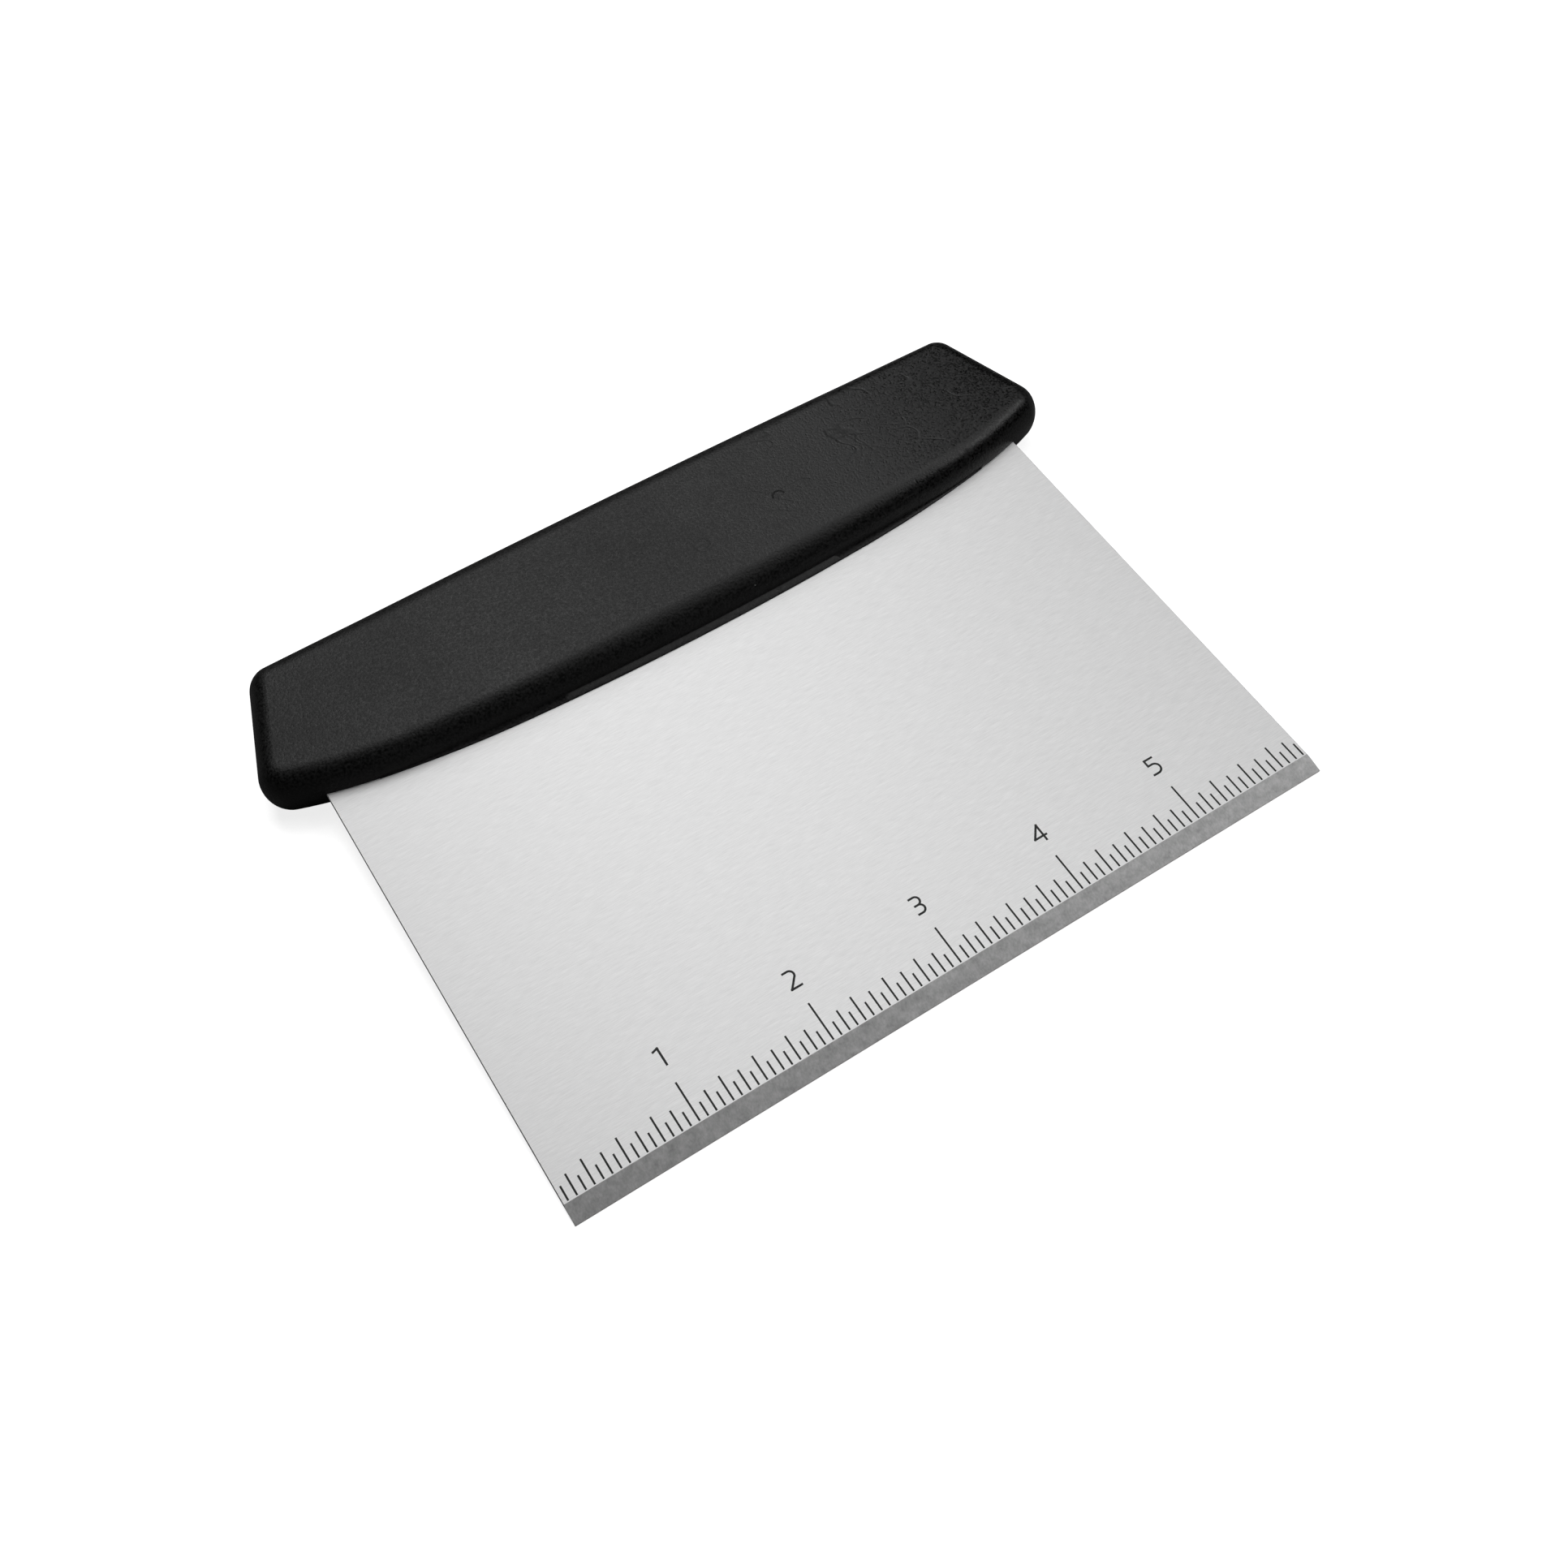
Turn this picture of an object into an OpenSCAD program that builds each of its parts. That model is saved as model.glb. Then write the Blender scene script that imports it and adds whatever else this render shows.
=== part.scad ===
// Bench scraper: a ground steel blade held in a moulded handle, with a filled inch scale.
//
// The scraper lies on a table as it is put down in use: the cutting edge and the underside
// of the handle's nose touch the table, and the blade slopes a little between them.
// X runs along the cutting edge, Y from the cutting edge to the handle, Z up.
// The origin is the middle of the footprint on the table.
//
// Every sub-part is drawn first in the blade's own frame, where y = 0 is the cutting edge
// and z = 0 is the middle of the sheet. lay_down() then puts it on the table.

/* [Blade] */
// Width of the blade along the cutting edge
blade_w = 151; // [100:1:200]
// Thickness of the sheet
blade_t = 1; // [0.6:0.1:2]
// Width of the ground bevel
bevel_w = 3.65; // [2:0.05:8]
// Thickness left at the cutting edge
edge_land = 0.25; // [0.1:0.05:0.5]
// Width of the break along the two sides, which takes off their burr
edge_break = 0.15; // [0.05:0.05:0.25]

/* [Tang] */
// Handle behind the end of the tang, at the middle
tang_cover = 13.3; // [10:0.1:15]
// Size of the cut corners at the end of the tang
tang_chamfer = 7; // [3:0.5:12]
// Number of lock holes that the handle is moulded through
lock_holes = 6; // [2:1:8]
// Diameter of a lock hole
lock_hole_d = 8; // [4:0.5:10]
// Steel between a lock hole and the end of the tang
lock_hole_margin = 5; // [3:0.5:8]

/* [Handle] */
// How far the handle stands out past each side of the blade
handle_overhang = 9.4; // [8:0.1:20]
// Depth of the handle from the nose to the back, at the middle
handle_d = 36.3; // [33:0.1:60]
// Thickness of the handle
handle_t = 12; // [9:0.5:20]
// Distance from the cutting edge to the nose, at the middle
nose_y = 86; // [60:1:140]
// Radius of the nose seen from above, over its middle
nose_r = 750; // [400:10:1500]
// Radius of the nose seen from above, near its ends
shoulder_r = 95; // [60:1:300]
// How far inside the blade's side the nose turns to its smaller radius
shoulder_inset = 19.5; // [15:0.5:30]
// Lean of the two ends, which close in towards the back
end_lean = 18.6; // [0:0.1:25]
// Radius of the front corners seen from above
front_corner_r = 5.5; // [5.5:0.1:12]
// Radius of the back corners seen from above
back_corner_r = 5; // [4.5:0.1:12]
// Radius of the back seen from above
back_r = 3050; // [1000:50:6000]

/* [Edge rounding] */
// How far the rounding reaches in from the nose, at its middle
nose_round = 5.5; // [3:0.1:8]
// How far the rounding reaches in from the ends and the corners
end_round = 4.3; // [2:0.1:4.4]
// How far the rounding reaches in from the back, at its middle
back_round = 5; // [3:0.1:8]
// Length over which the rounding of the back grows from its corners
back_blend = 20; // [5:1:40]

/* [Lip] */
// How far the thin lip reaches out from the nose over the blade, at its middle
lip_reach = 1.25; // [0.5:0.05:3]
// Thickness of the lip on each face of the blade
lip_t = 0.3; // [0.2:0.05:1]
// Radius of the lip seen from above, over its middle
lip_r = 640; // [300:10:1200]
// Radius of the lip seen from above, near its ends
lip_shoulder_r = 230; // [100:10:400]
// How far inside the blade's side the lip turns to its smaller radius
lip_shoulder_inset = 37.5; // [30:0.5:45]
// Width of bare blade at each end of the lip
lip_end_gap = 9.5; // [5:0.5:15]

/* [Inch scale] */
// How far the scale's zero lies outside the blade's left side
scale_overhang = 0.55; // [0:0.05:0.8]
// Gap between the bevel and the foot of each mark
mark_gap = 0.2; // [0.1:0.05:1]
// Width of a mark
mark_w = 0.34; // [0.16:0.02:0.5]
// Length of a mark at a sixteenth
sixteenth_l = 2.75; // [1:0.05:6]
// Length of a mark at an eighth
eighth_l = 4.05; // [1:0.05:8]
// Length of a mark at a quarter or a half
quarter_l = 4.85; // [1:0.05:10]
// Length of a mark at a whole inch
inch_l = 7.65; // [2:0.05:14]
// Gap between an inch mark and its numeral
numeral_gap = 3.2; // [0.5:0.1:8]
// Height of a numeral
numeral_h = 3.65; // [2:0.05:8]
// Width of a numeral's stroke
numeral_stroke = 0.4; // [0.2:0.05:0.6]
// Depth of the grooves that hold the filling
groove_depth = 0.1; // [0.05:0.05:0.3]

/* [Hidden] */

$fn = 48;
big_circle_fn = 720;     // sides that keep a large radius smooth
inch = 25.4;
per_inch = 16;
cut = 1;                 // how far a cutting solid runs past the face that it cuts

half_t = handle_t / 2;
half_blade_w = blade_w / 2;
sheet_z = blade_t / 2;   // height of the sheet's upper face over its middle
back_y = nose_y + handle_d;
tang_end_y = back_y - tang_cover;

// ---- Outline of the handle, seen from above ----

function unit(a) = [cos(a), sin(a)];

nose_c = [0, nose_y + nose_r];
shoulder_x = half_blade_w - shoulder_inset;
shoulder_a = asin(shoulder_x / nose_r) - 90;
shoulder_c = nose_c + (nose_r - shoulder_r) * unit(shoulder_a);

// The front corner touches the widest point of the handle and the shoulder's arc.
corner_x = half_blade_w + handle_overhang - front_corner_r;
corner_dx = corner_x - shoulder_c.x;
corner_c = [corner_x, shoulder_c.y - sqrt(pow(shoulder_r - front_corner_r, 2) - pow(corner_dx, 2))];
corner_a = atan2(corner_c.y - shoulder_c.y, corner_dx);

// The back corner touches the leaning end and the back's arc.
back_c = [0, back_y - back_r];
end_n = unit(end_lean);
end_t = unit(end_lean + 90);
end_foot = end_n * (end_n * corner_c + front_corner_r - back_corner_r) - back_c;
end_run = -end_foot * end_t
    + sqrt(pow(end_foot * end_t, 2) - end_foot * end_foot + pow(back_r - back_corner_r, 2));
back_corner_c = back_c + end_foot + end_run * end_t;
back_corner_a = atan2(back_corner_c.y - back_c.y, back_corner_c.x);

// Each outline point is [x, y, angle of the outward normal, reach of the rounding].
function nose_reach(x) = end_round + (nose_round - end_round) * max(0, 1 - x / corner_x);
function back_reach(x) =
    end_round + (back_round - end_round) * min(1, max(0, back_corner_c.x - x) / back_blend);
function on_arc(c, r, a) = c + r * unit(a);
function nose_point(c, r, a) = let (p = on_arc(c, r, a)) [p.x, p.y, a, nose_reach(p.x)];
function corner_point(c, r, a) = let (p = on_arc(c, r, a)) [p.x, p.y, a, end_round];
function back_point(a) = let (p = on_arc(back_c, back_r, a)) [p.x, p.y, a, back_reach(p.x)];

nose_steps = 6;
shoulder_steps = 4;
corner_steps = 9;
back_steps = 6;
function step(a, b, i, n) = a + (b - a) * i / n;

right_half = [
    for (i = [0:nose_steps - 1]) nose_point(nose_c, nose_r, step(-90, shoulder_a, i, nose_steps)),
    for (i = [0:shoulder_steps - 1])
        nose_point(shoulder_c, shoulder_r, step(shoulder_a, corner_a, i, shoulder_steps)),
    for (i = [0:corner_steps])
        corner_point(corner_c, front_corner_r, step(corner_a, end_lean, i, corner_steps)),
    for (i = [0:corner_steps - 1])
        corner_point(back_corner_c, back_corner_r, step(end_lean, back_corner_a, i, corner_steps)),
    for (i = [0:back_steps]) back_point(step(back_corner_a, 90, i, back_steps))
];
half_count = len(right_half);
outline = concat(
    right_half,
    [for (i = [half_count - 2:-1:1])
        let (p = right_half[i]) [-p[0], p[1], 180 - p[2], p[3]]]
);
outline_count = len(outline);

// ---- How the scraper lies on the table ----

// The table is the line from the cutting edge's underside that touches the rounded nose.
nose_axis_y = nose_y + nose_round;
lie_a = pow(nose_axis_y, 2) - pow(nose_round, 2);
lie_b = sheet_z * nose_axis_y;
lie_c = pow(sheet_z, 2) - pow(half_t, 2);
lie_slope = (sqrt(pow(lie_b, 2) - lie_a * lie_c) - lie_b) / lie_a;
lie_tilt = atan(lie_slope);
front_reach = (sheet_z - edge_land) * sin(lie_tilt);
back_reach_y = (back_y - back_round) * cos(lie_tilt)
    + sqrt(pow(back_round * cos(lie_tilt), 2) + pow(half_t * sin(lie_tilt), 2));
footprint_y = (front_reach + back_reach_y) / 2;

module lay_down() {
    translate([0, -footprint_y, sheet_z * cos(lie_tilt)])
        rotate([lie_tilt, 0, 0])
            children();
}

// ---- Blade ----

module lock_hole_row() {
    pitch = blade_w / lock_holes;
    for (i = [0:lock_holes - 1])
        translate([(i - (lock_holes - 1) / 2) * pitch, tang_end_y - lock_hole_margin - lock_hole_d / 2, 0])
            cylinder(h = blade_t + 2 * cut, d = lock_hole_d, center = true);
}

// The sheet's section across its width, with its four long edges broken, drawn along the blade.
module broken_section() {
    side_x = half_blade_w - edge_break;
    side_z = sheet_z - edge_break;
    translate([0, tang_end_y + cut, 0])
        rotate([90, 0, 0])
            linear_extrude(height = tang_end_y + 2 * cut)
                polygon([
                    [-side_x, -sheet_z],
                    [side_x, -sheet_z],
                    [half_blade_w, -side_z],
                    [half_blade_w, side_z],
                    [side_x, sheet_z],
                    [-side_x, sheet_z],
                    [-half_blade_w, side_z],
                    [-half_blade_w, -side_z]
                ]);
}

// The sheet as it is stamped and deburred, before the bevel is ground and the scale is cut.
module sheet() {
    difference() {
        intersection() {
            linear_extrude(height = blade_t, center = true)
                polygon([
                    [-half_blade_w, 0],
                    [half_blade_w, 0],
                    [half_blade_w, tang_end_y - tang_chamfer],
                    [half_blade_w - tang_chamfer, tang_end_y],
                    [-half_blade_w + tang_chamfer, tang_end_y],
                    [-half_blade_w, tang_end_y - tang_chamfer]
                ]);
            broken_section();
        }
        lock_hole_row();
    }
}

// The wedge that grinding takes off the upper face along the cutting edge.
module bevel_grind() {
    rise = blade_t - edge_land;
    slope = rise / bevel_w;
    translate([-half_blade_w - cut, 0, 0])
        rotate([90, 0, 90])
            linear_extrude(height = blade_w + 2 * cut)
                polygon([
                    [-cut, sheet_z - rise - cut * slope],
                    [bevel_w + cut, sheet_z + cut * slope],
                    [-cut, sheet_z + cut * slope]
                ]);
}

module blade() {
    color("silver")
        lay_down()
            difference() {
                sheet();
                bevel_grind();
                scale_lines(groove_depth, cut);
            }
}

// ---- Inch scale ----

mark_foot_y = bevel_w + mark_gap;
zero_x = -half_blade_w - scale_overhang;
marks = floor((half_blade_w - mark_w / 2 - zero_x) * per_inch / inch);
numerals = floor((half_blade_w - numeral_h / 2 - zero_x) / inch);

function mark_l(k) =
    k % per_inch == 0 ? inch_l : k % 4 == 0 ? quarter_l : k % 2 == 0 ? eighth_l : sixteenth_l;

// A straight stroke between two points, with square ends half a stroke past them.
module stroke(from, to) {
    run = to - from;
    translate([from.x, from.y, 0])
        rotate([0, 0, atan2(run.y, run.x)])
            translate([-numeral_stroke / 2, -numeral_stroke / 2, 0])
                cube([norm(run) + numeral_stroke, numeral_stroke, 1]);
}

// A round stroke about c, from angle a0 anticlockwise through sweep.
module round_stroke(c, r, a0, sweep) {
    translate([c.x, c.y, 0])
        rotate([0, 0, a0])
            rotate_extrude(angle = sweep)
                translate([r - numeral_stroke / 2, 0])
                    square([numeral_stroke, 1]);
}

// The numerals are 1 mm deep strokes on a centre line with its foot at y = 0.
line_h = numeral_h - numeral_stroke;
two_r = line_h * 0.26;
three_r = line_h * 0.25;
five_r = line_h * 0.31;

module numeral_1() {
    stem_x = line_h * 0.12;
    stroke([stem_x, 0], [stem_x, line_h]);
    stroke([stem_x, line_h], [stem_x - line_h * 0.28, line_h * 0.92]);
}

module numeral_2() {
    foot_x = two_r * 1.15;
    bowl_c = [0, line_h - two_r];
    leave_a = -35;
    stroke([-two_r, line_h], [0, line_h]);
    round_stroke(bowl_c, two_r, leave_a, 90 - leave_a);
    stroke(bowl_c + two_r * unit(leave_a), [-foot_x, 0]);
    stroke([-foot_x, 0], [foot_x, 0]);
}

module numeral_3() {
    stroke([-three_r, line_h], [0, line_h]);
    stroke([-three_r * 0.7, 2 * three_r], [0, 2 * three_r]);
    stroke([-three_r, 0], [0, 0]);
    round_stroke([0, line_h - three_r], three_r, -90, 180);
    round_stroke([0, three_r], three_r, -90, 180);
}

module numeral_4() {
    stem_x = line_h * 0.2;
    bar_y = line_h * 0.28;
    left_x = -line_h * 0.36;
    stroke([stem_x, 0], [stem_x, line_h]);
    stroke([stem_x, line_h], [left_x, bar_y]);
    stroke([left_x, bar_y], [line_h * 0.36, bar_y]);
}

module numeral_5() {
    left_x = -line_h * 0.26;
    stroke([left_x, line_h], [line_h * 0.24, line_h]);
    stroke([left_x, line_h], [left_x, 2 * five_r]);
    stroke([left_x, 2 * five_r], [0, 2 * five_r]);
    stroke([-line_h * 0.3, 0], [0, 0]);
    round_stroke([0, five_r], five_r, -90, 180);
}

module numeral_6() {
    back_r6 = line_h - five_r;
    round_stroke([0, five_r], five_r, 0, 360);
    round_stroke([back_r6 - five_r, five_r], back_r6, 100, 80);
}

module numeral_7() {
    half_bar = line_h * 0.3;
    stroke([-half_bar, line_h], [half_bar, line_h]);
    stroke([half_bar, line_h], [-half_bar * 0.5, 0]);
}

module numeral(n) {
    if (n == 1) numeral_1();
    if (n == 2) numeral_2();
    if (n == 3) numeral_3();
    if (n == 4) numeral_4();
    if (n == 5) numeral_5();
    if (n == 6) numeral_6();
    if (n == 7) numeral_7();
}

// Every mark and numeral, from depth below the sheet's upper face to rise above it.
module scale_lines(depth, rise) {
    translate([0, 0, sheet_z - depth]) {
        for (k = [1:marks])
            translate([zero_x + k * inch / per_inch - mark_w / 2, mark_foot_y, 0])
                cube([mark_w, mark_l(k), depth + rise]);
        for (n = [1:numerals])
            intersection() {
                translate([zero_x + n * inch, mark_foot_y + inch_l + numeral_gap + numeral_stroke / 2, 0])
                    numeral(n);
                translate([-blade_w, 0, 0])
                    cube([2 * blade_w, tang_end_y, depth + rise]);
            }
    }
}

module scale_filling() {
    color("dimgray")
        lay_down()
            scale_lines(groove_depth, 0);
}

// ---- Handle ----

round_steps = 6;         // steps of the rounding from the widest line to a flat face

function ring(a) = [
    for (p = outline)
        let (inward = p[3] * (1 - cos(a)))
            [p[0] - inward * cos(p[2]), p[1] - inward * sin(p[2]), half_t * sin(a)]
];

// The rounded body: one ring of points per step from the underside to the upper face.
module handle_body() {
    rings = 2 * round_steps + 1;
    points = [for (j = [0:rings - 1]) each ring(step(-90, 90, j, rings - 1))];
    walls = [
        for (j = [0:rings - 2], i = [0:outline_count - 1])
            let (n = (i + 1) % outline_count, low = j * outline_count, high = low + outline_count)
                [low + i, high + i, high + n, low + n]
    ];
    under = [for (i = [0:outline_count - 1]) i];
    upper = [for (i = [outline_count - 1:-1:0]) (rings - 1) * outline_count + i];
    polyhedron(points = points, faces = concat(walls, [under, upper]), convexity = 2);
}

// The lip's front line is a large arc over the middle and a smaller one to each side.
lip_y = nose_y - lip_reach;
lip_c = [0, lip_y + lip_r];
lip_shoulder_x = half_blade_w - lip_shoulder_inset;
lip_side_w = lip_shoulder_inset - lip_end_gap;
lip_a = asin(lip_shoulder_x / lip_r) - 90;
lip_shoulder_c = lip_c + (lip_r - lip_shoulder_r) * unit(lip_a);
lip_root = nose_round;   // how far the lip runs back inside the body

module lip_outline() {
    intersection() {
        translate(lip_c)
            circle(r = lip_r, $fn = big_circle_fn);
        translate([-lip_shoulder_x, lip_y - cut])
            square([2 * lip_shoulder_x, lip_reach + lip_root + cut]);
    }
    for (side = [0, 1])
        mirror([side, 0])
            intersection() {
                translate(lip_shoulder_c)
                    circle(r = lip_shoulder_r, $fn = big_circle_fn);
                translate([lip_shoulder_x, lip_y - cut])
                    square([lip_side_w, lip_reach + lip_root + cut]);
            }
}

module lip() {
    linear_extrude(height = blade_t + 2 * lip_t, center = true)
        lip_outline();
}

// The handle is moulded round the tang, so it fills the lock holes with solid pegs.
module handle() {
    color([0.14, 0.14, 0.14])
        lay_down()
            difference() {
                union() {
                    handle_body();
                    lip();
                }
                sheet();
            }
}

blade();
handle();
scale_filling();
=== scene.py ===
"""Bench scraper: a brushed steel blade with a filled inch scale, held in a black moulded handle.

Sizes are in millimetres in the blade's own frame, where y = 0 is the cutting edge and z = 0 is the
middle of the sheet. The scraper lies on the table on its cutting edge and on its nose, so each
piece is tipped and shifted into place by one matrix, in metres.
"""

import logging
import math
from collections.abc import Sequence
from dataclasses import dataclass, field
from enum import Enum
from typing import Any

import bmesh
import bpy
from mathutils import Matrix, Vector
from mathutils.geometry import delaunay_2d_cdt


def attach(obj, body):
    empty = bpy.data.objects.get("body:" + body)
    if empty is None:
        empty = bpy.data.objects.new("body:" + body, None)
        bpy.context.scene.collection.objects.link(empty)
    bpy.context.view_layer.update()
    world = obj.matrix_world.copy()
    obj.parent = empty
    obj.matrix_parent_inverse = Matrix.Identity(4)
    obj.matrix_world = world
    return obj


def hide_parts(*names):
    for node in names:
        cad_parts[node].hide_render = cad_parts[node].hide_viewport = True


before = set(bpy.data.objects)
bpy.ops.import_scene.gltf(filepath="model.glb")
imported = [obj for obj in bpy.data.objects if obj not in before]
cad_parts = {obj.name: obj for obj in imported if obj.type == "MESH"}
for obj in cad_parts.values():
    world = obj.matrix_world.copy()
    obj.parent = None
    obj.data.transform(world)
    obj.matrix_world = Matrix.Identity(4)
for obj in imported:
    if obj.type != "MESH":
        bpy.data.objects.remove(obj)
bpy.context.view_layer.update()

MM = 0.001
INSIDE_OUTLINES = 1  # tells the triangulation to keep only what lies inside its outlines
SAME_POINT = 1e-5  # mm within which the triangulation takes two points as one
log = logging.getLogger("bench_scraper")

Tree = bpy.types.NodeTree
Output = bpy.types.NodeSocket


class Body(Enum):
    """The bodies that pieces ride on."""

    ROOT = "root"


class Slot(Enum):
    """The material slots."""

    STEEL = "blade_steel"
    PLASTIC = "handle_plastic"
    PAINT = "scale_paint"


def linear(hex_colour: str) -> tuple[float, float, float, float]:
    """Turn an sRGB hex colour into Blender's linear values.

    Args:
        hex_colour: Six hex digits with a leading #.

    Returns:
        Red, green and blue as linear light, and an alpha of 1.
    """
    channels = (int(hex_colour[i : i + 2], 16) / 255 for i in (1, 3, 5))
    red, green, blue = (c / 12.92 if c <= 0.04045 else ((c + 0.055) / 1.055) ** 2.4 for c in channels)
    return red, green, blue, 1.0


def add_node(
    tree: Tree,
    kind: str,
    settings: dict[str, Any] | None = None,
    inputs: dict[str | int, Any] | None = None,
) -> bpy.types.Node:
    """Add one node to a tree, with its settings, values and links.

    Args:
        tree: The tree that gets the node.
        kind: Blender's name for the type of node.
        settings: Attributes to set on the node.
        inputs: A value or another node's output for each input, by its name or number.

    Returns:
        The new node.
    """
    node = tree.nodes.new(kind)
    for name, value in (settings or {}).items():
        setattr(node, name, value)
    for key, value in (inputs or {}).items():
        if isinstance(value, Output):
            tree.links.new(value, node.inputs[key])
        else:
            node.inputs[key].default_value = value
    return node


def new_material(name: str) -> tuple[bpy.types.Material, Tree]:
    """Make an empty material that is drawn with nodes.

    Args:
        name: The material's name.

    Returns:
        The material and its node tree.
    """
    material = bpy.data.materials.new(name)
    material.use_nodes = True
    material.node_tree.nodes.clear()
    return material, material.node_tree


# ---------------------------------------------------------------------------------------------
# How the scraper lies
# ---------------------------------------------------------------------------------------------


@dataclass(frozen=True)
class Rest:
    """How the scraper lies on the table: on its cutting edge and on the underside of its nose."""

    tilt: float = math.radians(3.445567)  # slope of the blade
    footprint_y: float = 61.05348  # mm from the cutting edge to the middle of the footprint
    sheet_t: float = 1.0  # mm

    def matrix(self) -> Matrix:
        """Work out how a piece gets from the blade's frame to the row frame.

        Returns:
            The matrix, in metres.
        """
        lift = self.sheet_t / 2 * math.cos(self.tilt)
        shift = Matrix.Translation((0, -self.footprint_y * MM, lift * MM))
        return shift @ Matrix.Rotation(self.tilt, 4, "X")

    def blade_coordinates(self, tree: Tree) -> Output:
        """Give a piece's surface its place in the blade's frame, in millimetres.

        Args:
            tree: The tree that gets the nodes.

        Returns:
            The output with the place.
        """
        back = self.matrix().inverted()
        place = add_node(tree, "ShaderNodeTexCoord").outputs["Object"]
        turned = add_node(
            tree,
            "ShaderNodeMapping",
            {"vector_type": "POINT"},
            {"Vector": place, "Location": back.translation, "Rotation": (-self.tilt, 0, 0)},
        )
        scaled = add_node(
            tree, "ShaderNodeVectorMath", {"operation": "SCALE"}, {0: turned.outputs[0], "Scale": 1 / MM}
        )
        return scaled.outputs[0]


REST = Rest()


# ---------------------------------------------------------------------------------------------
# What the finishes are drawn with
# ---------------------------------------------------------------------------------------------


def stretched_noise(
    tree: Tree,
    place: Output,
    size: Sequence[float],
    turn: float = 0.0,
    detail: float = 2.0,
    roughness: float = 0.5,
    shift: float = 0.0,
) -> Output:
    """Draw soft random patches of a given size.

    Args:
        tree: The tree that gets the nodes.
        place: Where on the surface, in millimetres.
        size: Length of a patch along x, y and z, in millimetres.
        turn: Angle that the pattern is turned by about z, in radians.
        detail: How many finer layers the noise has.
        roughness: How strong the finer layers are.
        shift: Distance that moves the pattern on, so that no two are alike.

    Returns:
        The noise's value, from 0 to 1.
    """
    turned = add_node(
        tree, "ShaderNodeMapping", {"vector_type": "POINT"}, {"Vector": place, "Rotation": (0, 0, turn)}
    )
    scaled = add_node(
        tree,
        "ShaderNodeMapping",
        {"vector_type": "POINT"},
        {"Vector": turned.outputs[0], "Scale": [1 / s for s in size], "Location": (shift, shift, shift)},
    )
    noise = add_node(
        tree,
        "ShaderNodeTexNoise",
        {"noise_dimensions": "3D"},
        {"Vector": scaled.outputs[0], "Scale": 1.0, "Detail": detail, "Roughness": roughness},
    )
    return noise.outputs["Fac"]


def weighted_sum(tree: Tree, terms: Sequence[tuple[Output, float]], start: float | Output = 0.0) -> Output:
    """Add values, each times its weight.

    Args:
        tree: The tree that gets the nodes.
        terms: Each value's output and its weight.
        start: The number or the output that the sum starts from.

    Returns:
        The output with the sum.
    """
    total: Any = start
    for value, weight in terms:
        total = add_node(
            tree, "ShaderNodeMath", {"operation": "MULTIPLY_ADD"}, {0: value, 1: weight, 2: total}
        ).outputs[0]
    return total


def product(tree: Tree, first: Output, *others: Output) -> Output:
    """Multiply values, so that a pattern shows only where all of them do.

    Args:
        tree: The tree that gets the nodes.
        first: The first value.
        others: The values to multiply it by.

    Returns:
        The output with the product.
    """
    total = first
    for value in others:
        total = add_node(tree, "ShaderNodeMath", {"operation": "MULTIPLY"}, {0: total, 1: value}).outputs[0]
    return total


def line_at(tree: Tree, value: Output, level: float, width: float) -> Output:
    """Draw a soft line where a value passes a level.

    Args:
        tree: The tree that gets the nodes.
        value: The value, which changes over the surface.
        level: Where the line's middle lies.
        width: How far from the level the line fades out.

    Returns:
        How much of the line there is, from 0 to 1.
    """
    off_level = add_node(tree, "ShaderNodeMath", {"operation": "SUBTRACT"}, {0: value, 1: level})
    away = add_node(tree, "ShaderNodeMath", {"operation": "ABSOLUTE"}, {0: off_level.outputs[0]})
    line = add_node(
        tree,
        "ShaderNodeMapRange",
        inputs={"Value": away.outputs[0], "From Max": width, "To Min": 1.0, "To Max": 0.0},
    )
    return line.outputs[0]


def toned(tree: Tree, hex_colour: str, tone: Output) -> Output:
    """Multiply a colour by a tone that changes over the surface.

    Args:
        tree: The tree that gets the nodes.
        hex_colour: The colour where the tone is 1.
        tone: The tone.

    Returns:
        The output with the colour.
    """
    mixed = add_node(
        tree,
        "ShaderNodeMix",
        {"data_type": "RGBA", "blend_type": "MULTIPLY"},
        {"Factor": 1.0, "A": linear(hex_colour), "B": tone},
    )
    return mixed.outputs["Result"]


def cover(tree: Tree, inputs: dict[str | int, Any]) -> None:
    """Add the surface's shader and hand it to the material's output.

    Args:
        tree: The tree that gets the nodes.
        inputs: The shader's values and links, by name.
    """
    shader = add_node(tree, "ShaderNodeBsdfPrincipled", inputs=inputs)
    add_node(tree, "ShaderNodeOutputMaterial", inputs={"Surface": shader.outputs[0]})


# ---------------------------------------------------------------------------------------------
# Finishes
# ---------------------------------------------------------------------------------------------


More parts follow.
